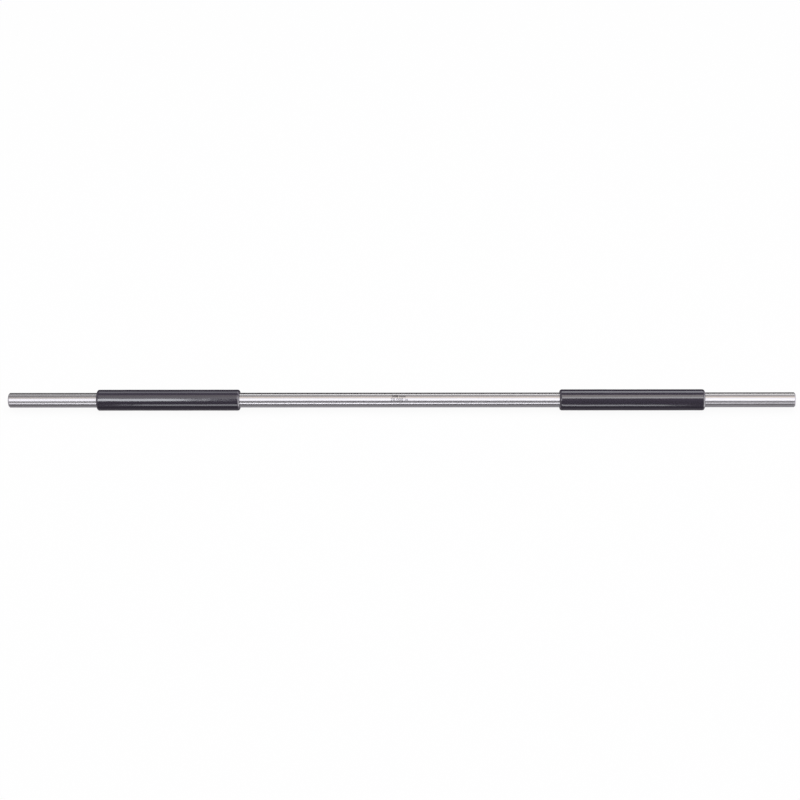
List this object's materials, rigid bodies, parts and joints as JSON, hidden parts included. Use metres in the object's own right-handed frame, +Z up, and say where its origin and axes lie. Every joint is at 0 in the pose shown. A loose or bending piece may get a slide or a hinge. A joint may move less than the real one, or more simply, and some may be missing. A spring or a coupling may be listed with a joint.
{
  "type": "end measuring rod",
  "caption": "Slim ground steel length standard with flat chamfered measuring ends and black rubber sleeves that insulate it from the hand.",
  "frame": {"origin": "middle of the rod's length, on its axis", "axes": "+X along the rod, from the left sleeve towards the right sleeve; +Z up; +Y away from the reader of the marking"},
  "size_m": [0.508, 0.0136, 0.0136],
  "materials": {
    "ground_steel": "polished",
    "grip_rubber": "gloss",
    "etched_marking": "matte"
  },
  "bodies": {
    "root": {"measuring_rod": "ground_steel", "left_grip": "grip_rubber", "right_grip": "grip_rubber"}
  },
  "joints": []
}
